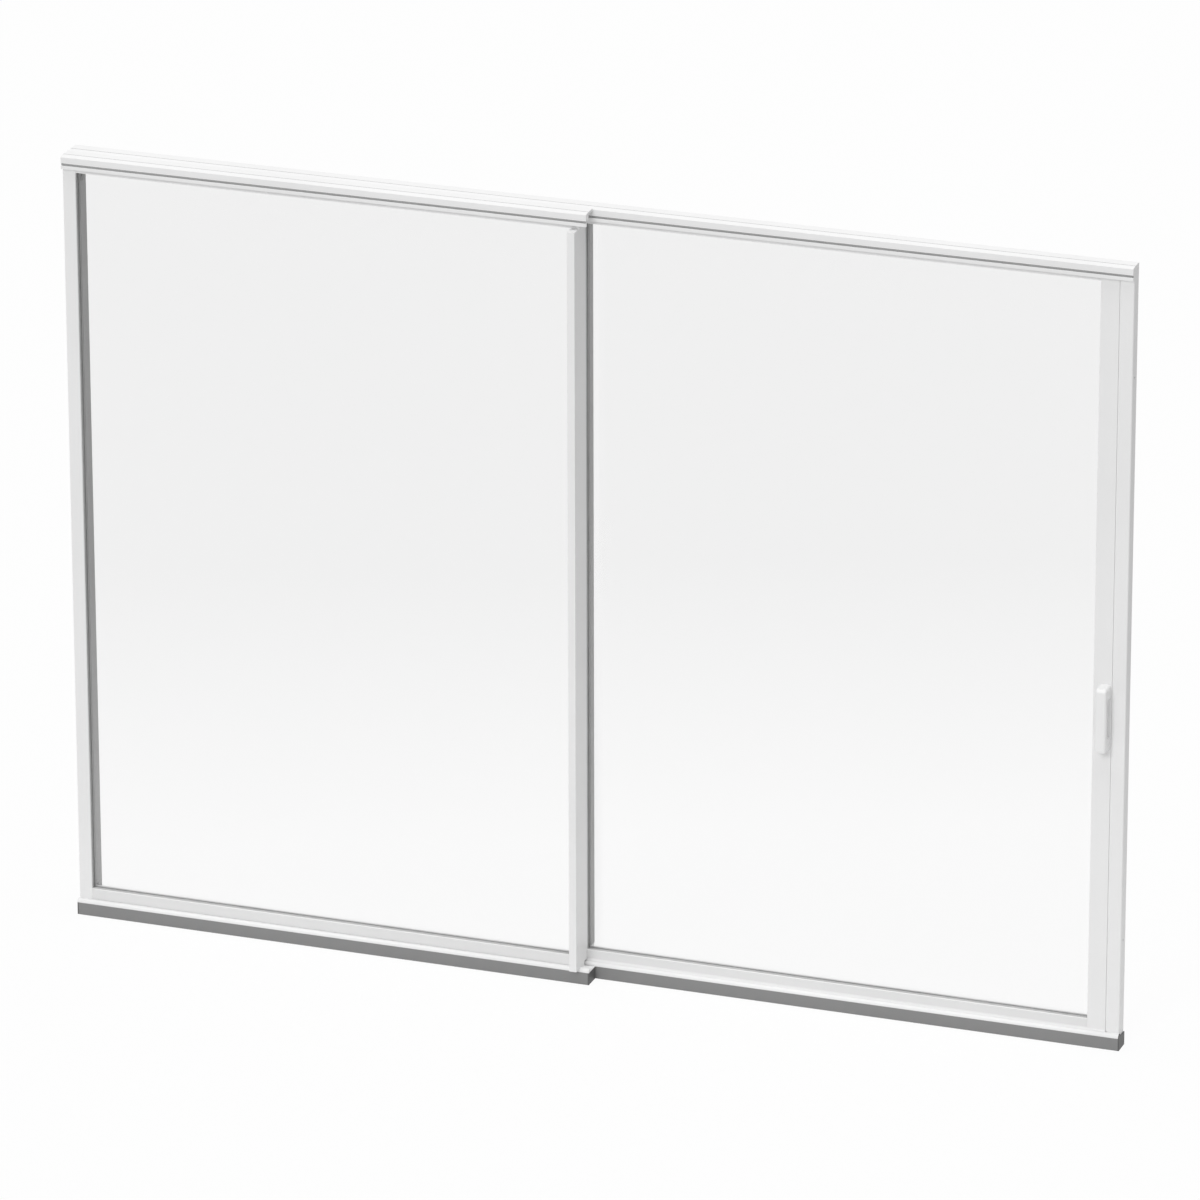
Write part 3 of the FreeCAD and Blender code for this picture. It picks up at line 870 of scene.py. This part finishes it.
def finished_mesh(name: str, bm: bmesh.types.BMesh) -> bpy.types.Mesh:
    """Turns worked geometry into a mesh with outward faces and smooth curves.

    Args:
        name: Name of the mesh.
        bm: The geometry, which is freed.

    Returns:
        The mesh.
    """
    bmesh.ops.recalc_face_normals(bm, faces=bm.faces)
    mesh = bpy.data.meshes.new(name)
    bm.to_mesh(mesh)
    bm.free()
    mesh.shade_smooth()
    mesh.set_sharp_from_angle(angle=SMOOTH_BELOW)
    return mesh


def facing(normal: Triple, at: Triple) -> Matrix:
    """A place whose own +Z points along a normal.

    Args:
        normal: Direction out of the surface.
        at: Point on the surface.

    Returns:
        The place.
    """
    turn = Vector((0.0, 0.0, 1.0)).rotation_difference(Vector(normal)).to_matrix().to_4x4()
    return Matrix.Translation(Vector(at)) @ turn


def laid(along: Triple, across: Triple, up: Triple, at: Triple) -> Matrix:
    """A place whose own axes point along three directions.

    Args:
        along: Direction of its own X.
        across: Direction of its own Y.
        up: Direction of its own Z.
        at: Its origin.

    Returns:
        The place.
    """
    turn = Matrix((along, across, up)).transposed().to_4x4()
    return Matrix.Translation(Vector(at)) @ turn


@dataclass
class SubAssembly(ABC):
    """A group of pieces of the door with its own finishes and added meshes."""

    finishes: Finishes

    @property
    @abstractmethod
    def body(self) -> Body:
        """The body that the group moves with."""

    @abstractmethod
    def build(self) -> None:
        """Dresses the group's solids and adds its meshes."""

    def dress(self, finish: Finish, *nodes: str) -> None:
        """Gives solids of the frame a finish.

        Args:
            finish: Finish to show.
            nodes: Names of the solids.
        """
        for node in nodes:
            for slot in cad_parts[node].material_slots:
                slot.material = finish.material()
            log.info("dressed %s in %s", node, finish.name)

    def glaze(self, *nodes: str) -> None:
        """Gives panes their glass, which throws no shadow.

        Args:
            nodes: Names of the panes.
        """
        self.dress(self.finishes.glass, *nodes)
        for node in nodes:
            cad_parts[node].visible_shadow = False

    def add(self, mesh: bpy.types.Mesh, finish: Finish, slot: Slot) -> None:
        """Adds a modelled piece that moves with this group's body.

        Args:
            mesh: The piece's mesh, in the frame's own place. Its name becomes the piece's.
            finish: Finish to show.
            slot: Slot of the record that the finish belongs to; not used.
        """
        piece = bpy.data.objects.new(mesh.name, mesh)
        bpy.context.scene.collection.objects.link(piece)
        mesh.materials.append(finish.material())
        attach(piece, self.body.value)
        log.info("added %s, %d faces", piece.name, len(mesh.polygons))

    def plate_screws(self, name: str, plate: str, way: Way, inset: float) -> None:
        """Two small screws near the ends of an upright plate.

        Args:
            name: Name of the piece.
            plate: Node of the plate.
            way: The way the plate faces.
            inset: Distance of the screws from the plate's ends.
        """
        low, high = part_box(plate)
        face = high.x if way is Way.RIGHT else low.x
        middle = (low.y + high.y) / 2
        levels = (low.z + inset, high.z - inset)
        places = [facing((way.value, 0, 0), (face, middle, level)) for level in levels]
        self.add(PlateScrewHead().mesh(name, places), self.finishes.steel, Slot.LATCH_STEEL)


@dataclass
class OuterFrame(SubAssembly):
    """Sills, head and jambs, with the seals that the panel closes against."""

    touch_gap: float = 0.5 * MM
    end_gap: float = 0.5 * MM
    lip_setback: float = 0.3 * MM
    pile_setback: float = 9.0 * MM
    screw_inset: float = 12.0 * MM
    groove_low: float = 9.8 * MM
    groove_depth: float = 5.0 * MM
    bevel_run: float = 17.0 * MM
    joint_width: float = 2.2 * MM
    joint_rise: float = 0.25 * MM
    nose_depth: float = 20.0 * MM
    web: float = 6.0 * MM
    plug_length: float = 14.0 * MM
    plug_gap: float = 0.15 * MM

    @property
    def body(self) -> Body:
        """The outer frame stands still."""
        return Body.FRAME

    def build(self) -> None:
        """Dresses the outer frame and adds its seals, beads and screws."""
        finishes = self.finishes
        self.dress(finishes.sill, "sill_base", "front_sill_base")
        self.dress(finishes.sill_end, "sill_end_plates")
        self.dress(finishes.front_sill_end, "front_sill_end_plates")
        # The sill caps show the darker white coat, which is painted shade.
        self.dress(finishes.sill_cap, "sill_cap", "front_sill_cap")
        self.dress(finishes.bars, "head", "front_head", "head_end_plugs")
        self.dress(finishes.uprights, "left_jamb", "right_jamb")
        # The left jamb's liner is painted shade.
        self.dress(finishes.liner, "left_jamb_liner")
        # The bumpers show the gaskets' lightened grey, which is painted light.
        self.dress(finishes.gasket, "bumpers")
        self.dress(finishes.aluminium, "roller_rail")
        self.dress(finishes.steel, "latch_keeper")
        self._jamb_seals()
        self._head_pile()
        for node in ("head", "front_head"):
            self._painted_shade_groove_bead(node)
            self._bevel_joint(node)
        self._head_plug()
        self.plate_screws("keeper_screws", "latch_keeper", Way.LEFT, self.screw_inset)

    def _jamb_seals(self) -> None:
        """Lip and pile on the right jamb that fill its joint with the lock stile."""
        jamb_low, jamb_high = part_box("right_jamb")
        stile_low, stile_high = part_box("lock_stile")
        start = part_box("sill_cap")[1].z + self.end_gap
        run = jamb_high.z - self.end_gap - start
        reach = jamb_low.x - stile_high.x - self.touch_gap
        turned = ((0, 0, 1), (0, 1, 0), (-1, 0, 0))
        lip = SealLip(run, reach)
        place = laid(*turned, (jamb_low.x, stile_low.y + self.lip_setback, start))
        self.add(lip.mesh("jamb_seal_lip", place), self.finishes.seal, Slot.GREY_NYLON)
        pile = PileStrip(run, reach)
        place = laid(*turned, (jamb_low.x, stile_low.y + self.pile_setback, start))
        self.add(pile.mesh("jamb_pile_strip", place), self.finishes.pile, Slot.GREY_NYLON)

    def _head_pile(self) -> None:
        """Pile on both legs of the head, towards the top rail."""
        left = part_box("left_jamb")[1].x
        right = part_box("right_jamb")[0].x
        rail_low, rail_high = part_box("sliding_top_rail")
        rear_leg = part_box("head_end_plugs")[1].y
        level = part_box("head")[0].z + self.end_gap
        gap = rear_leg - rail_high.y
        pile = PileStrip(right - left, gap - self.touch_gap)
        place = laid((1, 0, 0), (0, 0, 1), (0, -1, 0), (left, rear_leg, level))
        self.add(pile.mesh("head_rear_pile_strip", place), self.finishes.pile, Slot.GREY_NYLON)
        place = laid((1, 0, 0), (0, 0, 1), (0, 1, 0), (left, rail_low.y - gap, level))
        self.add(pile.mesh("head_front_pile_strip", place), self.finishes.pile, Slot.GREY_NYLON)

    def _painted_shade_groove_bead(self, node: str) -> None:
        """Grey bead along the groove in a head's front, which darkens the groove as painted shade.

        Args:
            node: Node of the head.
        """
        low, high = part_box(node)
        bead = GrooveBead(high.x - low.x - 2 * self.end_gap)
        start = (low.x + self.end_gap, low.y + self.groove_depth, low.z + self.groove_low)
        place = laid((1, 0, 0), (0, 0, 1), (0, -1, 0), start)
        self.add(bead.mesh(f"{node}_painted_shade_groove_bead", place), self.finishes.bead, Slot.GASKET_RUBBER)

    def _bevel_joint(self, node: str) -> None:
        """Sealed joint of the top cover, along the upper edge of a head's front bevel.

        Args:
            node: Node of the head.
        """
        low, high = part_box(node)
        bead = GrooveBead(high.x - low.x - 2 * self.end_gap, self.joint_width, self.joint_rise)
        start = (low.x + self.end_gap, low.y + self.bevel_run, high.z)
        place = laid((1, 0, 0), (0, 1, 0), (0, 0, 1), start)
        self.add(bead.mesh(f"{node}_bevel_joint", place), self.finishes.bead, Slot.GASKET_RUBBER)

    def _head_plug(self) -> None:
        """Plug on the fixed meeting stile that closes the slot under the front head's web."""
        head_low, head_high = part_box("front_head")
        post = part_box("fixed_meeting_stile")[1]
        gap = self.plug_gap
        low = Vector((post.x - gap - self.plug_length, head_low.y + self.nose_depth + gap, post.z))
        high = Vector((post.x - gap, head_high.y - gap, head_high.z - self.web - gap))
        self.add(SlotPlug().mesh("front_head_slot_plug", low, high), self.finishes.bars, Slot.WHITE_FRAME)


@dataclass
class FixedBay(SubAssembly):
    """The fixed glazed bay in front, with the seal on its hook leg."""

    touch_gap: float = 0.5 * MM
    end_gap: float = 5.0 * MM

    @property
    def body(self) -> Body:
        """The fixed bay stands still."""
        return Body.FRAME

    def build(self) -> None:
        """Dresses the fixed bay and adds its seal."""
        finishes = self.finishes
        # The fixed bottom rail shows the darker copy of the white coat, which is painted shade.
        self.dress(finishes.painted_shade_low_bars, "fixed_bottom_rail")
        self.dress(finishes.bars, "fixed_top_rail")
        self.dress(finishes.uprights, "fixed_meeting_stile", "fixed_fin_caps")
        # The fixed gaskets show the lightened grey, which is painted light.
        self.dress(finishes.gasket, "fixed_gaskets")
        self.dress(finishes.spacer, "fixed_glass_spacer")
        self.glaze("fixed_glass_outer", "fixed_glass_inner")
        self._interlock_lip()

    def _interlock_lip(self) -> None:
        """Lip on the end of the meeting stile's leg, towards the sliding panel."""
        leg_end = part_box("fixed_meeting_stile")[1]
        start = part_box("sill_cap")[1].z + self.end_gap
        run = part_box("head")[0].z - self.end_gap - start
        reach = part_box("lock_stile")[0].y - leg_end.y - self.touch_gap
        lip = SealLip(run, reach)
        place = laid((0, 0, 1), (-1, 0, 0), (0, 1, 0), (leg_end.x, leg_end.y, start))
        self.add(lip.mesh("fixed_interlock_lip", place), self.finishes.seal, Slot.GREY_NYLON)


@dataclass
class SlidingPanel(SubAssembly):
    """The sliding panel with its rollers, handles, latch and seals."""

    touch_gap: float = 0.5 * MM
    end_gap: float = 5.0 * MM
    sweep_gap: float = 0.2 * MM
    sweep_proud: float = 0.25 * MM
    sweep_lap: float = 1.3 * MM
    sweep_foot: float = 1.6 * MM
    sweep_flare: float = 2.5 * MM
    pile_width: float = 1.9 * MM
    pile_setback: float = 2.0 * MM
    screw_inset: float = 12.0 * MM
    handle_screw_inset: float = 15.0 * MM

    @property
    def body(self) -> Body:
        """The panel slides."""
        return Body.PANEL

    def build(self) -> None:
        """Dresses the sliding panel and adds its seals and screws."""
        finishes = self.finishes
        # The sliding bottom rail shows the darker copy of the white coat, which is painted shade.
        self.dress(finishes.painted_shade_low_bars, "sliding_bottom_rail")
        self.dress(finishes.bars, "sliding_top_rail")
        self.dress(finishes.uprights, "sliding_meeting_stile", "sliding_fin_caps", "lock_stile")
        # The meeting stile's liner is painted shade.
        self.dress(finishes.liner, "meeting_stile_liner")
        # The sliding gaskets show the lightened grey, which is painted light.
        self.dress(finishes.gasket, "sliding_gaskets")
        self.dress(finishes.spacer, "sliding_glass_spacer")
        self.glaze("sliding_glass_outer", "sliding_glass_inner")
        self.dress(finishes.handle, "outside_handle", "inside_handle")
        self.dress(finishes.steel, "latch_plate", "roller_axles")
        self.dress(finishes.nylon, "top_guides")
        for side in ("left", "right"):
            self.dress(finishes.nylon, f"{side}_roller_housing", f"{side}_roller_wheel")
        self._rail_sweep()
        self._interlock_lip()
        self._handle_screws()
        self.plate_screws("latch_screws", "latch_plate", Way.RIGHT, self.screw_inset)

    def _rail_sweep(self) -> None:
        """Lip and pile under the front edge of the bottom rail, over the sill's nosing."""
        stile_low, stile_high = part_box("lock_stile")
        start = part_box("sliding_meeting_stile")[0].x
        run = stile_high.x - start
        reach = stile_low.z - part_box("sill_cap")[1].z - self.touch_gap
        turned = ((1, 0, 0), (0, 1, 0), (0, 0, -1))
        drop = self.sweep_lap + reach + self.touch_gap - self.sweep_gap
        lip = SealLip(run, drop, foot=self.sweep_foot, flare=self.sweep_flare)
        place = laid(*turned, (start, stile_low.y - self.sweep_proud, stile_low.z + self.sweep_lap))
        self.add(lip.mesh("rail_sweep_lip", place), self.finishes.seal, Slot.GREY_NYLON)
        pile = PileStrip(run, reach, width=self.pile_width)
        place = laid(*turned, (start, stile_low.y + self.pile_setback, stile_low.z))
        self.add(pile.mesh("rail_pile_strip", place), self.finishes.pile, Slot.GREY_NYLON)

    def _interlock_lip(self) -> None:
        """Lip on the end of the meeting stile's leg, towards the fixed bay."""
        leg_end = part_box("sliding_meeting_stile")[0]
        fixed_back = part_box("fixed_bottom_rail")[1].y
        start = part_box("sill_cap")[1].z + self.end_gap
        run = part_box("head")[0].z - self.end_gap - start
        lip = SealLip(run, leg_end.y - fixed_back - self.touch_gap)
        place = laid((0, 0, 1), (1, 0, 0), (0, -1, 0), (leg_end.x, leg_end.y, start))
        self.add(lip.mesh("sliding_interlock_lip", place), self.finishes.seal, Slot.GREY_NYLON)

    def _handle_screws(self) -> None:
        """Two screws in the feet of the inside pull."""
        low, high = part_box("inside_handle")
        middle = (low.x + high.x) / 2
        levels = (low.z + self.handle_screw_inset, high.z - self.handle_screw_inset)
        places = [facing((0, 1, 0), (middle, high.y, level)) for level in levels]
        self.add(ScrewHead().mesh("handle_screws", places), self.finishes.steel, Slot.LATCH_STEEL)


@dataclass(frozen=True)
class SoftLamp:
    """A far, wide lamp that lights the whole door evenly."""

    name: str
    strength: float
    angle: float
    towards: Triple

    def build(self) -> None:
        """Hangs the lamp in the scene."""
        data = bpy.data.lights.new(self.name, "SUN")
        data.energy = self.strength
        data.angle = self.angle
        lamp = bpy.data.objects.new(self.name, data)
        lamp.rotation_mode = "QUATERNION"
        lamp.rotation_quaternion = Vector(self.towards).to_track_quat("-Z", "Y")
        bpy.context.scene.collection.objects.link(lamp)
        log.info("hung %s", self.name)


@dataclass
class Studio:
    """Pale floor, plain soft light and white surroundings."""

    floor_radius: float = 40.0
    floor_sides: int = 96
    floor_colour: Colour = grey(0.78)
    floor_roughness: float = 0.9
    floor_gloss: float = 0.0
    floor_glow: float = 0.93
    far_mirrored: Colour = grey(0.35)
    far_range: Pair = (1.0, 3.1)
    far_heading: Triple = (0.338, 0.941, 0.0)
    world_light: float = 0.345
    lamps: tuple[SoftLamp, ...] = (
        SoftLamp("front_lamp", strength=1.03, angle=math.radians(24.0), towards=(0.1, 0.855, -0.51)),
        SoftLamp("top_lamp", strength=1.76, angle=math.radians(60.0), towards=(0.0, 0.0, -1.0)),
    )

    def build(self) -> None:
        """Makes the floor, the lamps and the world."""
        self._floor()
        for lamp in self.lamps:
            lamp.build()
        self._world()
        bpy.context.scene.view_settings.view_transform = "Standard"

    def _floor(self) -> None:
        """Round floor that looks nearly white and keeps the door's shadow."""
        bm = bmesh.new()
        bmesh.ops.create_circle(bm, cap_ends=True, segments=self.floor_sides, radius=self.floor_radius)
        mesh = bpy.data.meshes.new("floor")
        bm.to_mesh(mesh)
        bm.free()
        floor = bpy.data.objects.new("floor", mesh)
        bpy.context.scene.collection.objects.link(floor)
        mesh.materials.append(self._floor_material())

    def _floor_material(self) -> bpy.types.Material:
        """Matt pale floor, greyer away from the door in what the panes mirror.

        Returns:
            The material.
        """
        bench = ShaderBench("pale_floor")
        bench.shader.inputs["Roughness"].default_value = self.floor_roughness
        bench.shader.inputs["Specular IOR Level"].default_value = self.floor_gloss
        ahead = bench.add("ShaderNodeVectorMath", operation="DOT_PRODUCT")
        ahead.inputs[1].default_value = self.far_heading
        bench.link(bench.place, ahead.inputs[0])
        away = bench.maths("ABSOLUTE", ahead.outputs["Value"])
        far = bench.spread(away, self.far_range, (0.0, 1.0))
        path = bench.add("ShaderNodeLightPath")
        mirrored = bench.maths("MULTIPLY", path.outputs["Is Glossy Ray"], far)
        tone = bench.mixed(mirrored, self.floor_colour, self.far_mirrored)
        bench.link(tone, bench.shader.inputs["Base Color"])
        white = bench.add("ShaderNodeEmission")
        bench.link(bench.mixed(mirrored, grey(1.0), self.far_mirrored), white.inputs["Color"])
        glow = bench.spread(bench.shown_share(path), (0.0, 1.0), (0.0, self.floor_glow))
        bench.blend(glow, bench.shader.outputs["BSDF"], white.outputs["Emission"])
        bench.material.cycles.emission_sampling = "NONE"
        return bench.material

    def _world(self) -> None:
        """Surroundings that look white, in mirrors and through glass too, and light the door softly."""
        world = bpy.data.worlds.new("studio_world")
        bpy.context.scene.world = world
        world.use_nodes = True
        bench = NodeBench(world.node_tree)
        strength = bench.add("ShaderNodeMix")
        strength.inputs["A"].default_value = self.world_light
        strength.inputs["B"].default_value = 1.0
        bench.link(bench.shown_share(bench.add("ShaderNodeLightPath")), strength.inputs["Factor"])
        background = bench.tree.nodes["Background"]
        background.inputs["Color"].default_value = (*grey(1.0), 1.0)
        bench.link(strength.outputs["Result"], background.inputs["Strength"])


@dataclass
class ViewCamera:
    """Camera at the photograph's viewing angle."""

    lens: float = 269.4
    sensor: float = 36.0
    yaw: float = math.radians(19.753)
    pitch: float = math.radians(20.741)
    roll: float = math.radians(-0.107)
    place: Triple = (7.3863, -20.5250, 9.3167)
    clip_end: float = 100.0

    def build(self) -> None:
        """Makes the camera and sets it as the scene's."""
        look = Vector(
            (
                -math.sin(self.yaw) * math.cos(self.pitch),
                math.cos(self.yaw) * math.cos(self.pitch),
                -math.sin(self.pitch),
            )
        )
        level = Vector((math.cos(self.yaw), math.sin(self.yaw), 0.0))
        right = level * math.cos(self.roll) + level.cross(look) * math.sin(self.roll)
        up = right.cross(look)
        data = bpy.data.cameras.new("view_camera")
        data.lens = self.lens
        data.sensor_width = self.sensor
        data.clip_end = self.clip_end
        camera = bpy.data.objects.new("view_camera", data)
        turn = Matrix((right, up, -look)).transposed().to_4x4()
        camera.matrix_world = Matrix.Translation(Vector(self.place)) @ turn
        bpy.context.scene.collection.objects.link(camera)
        bpy.context.scene.camera = camera


def main() -> None:
    """Builds the door's looks, its studio and its camera."""
    logging.basicConfig(level=logging.INFO, format="%(name)s: %(message)s")
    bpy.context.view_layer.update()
    finishes = Finishes()
    for assembly in (OuterFrame, FixedBay, SlidingPanel):
        assembly(finishes).build()
    Studio().build()
    ViewCamera().build()


if __name__ == "__main__":
    main()
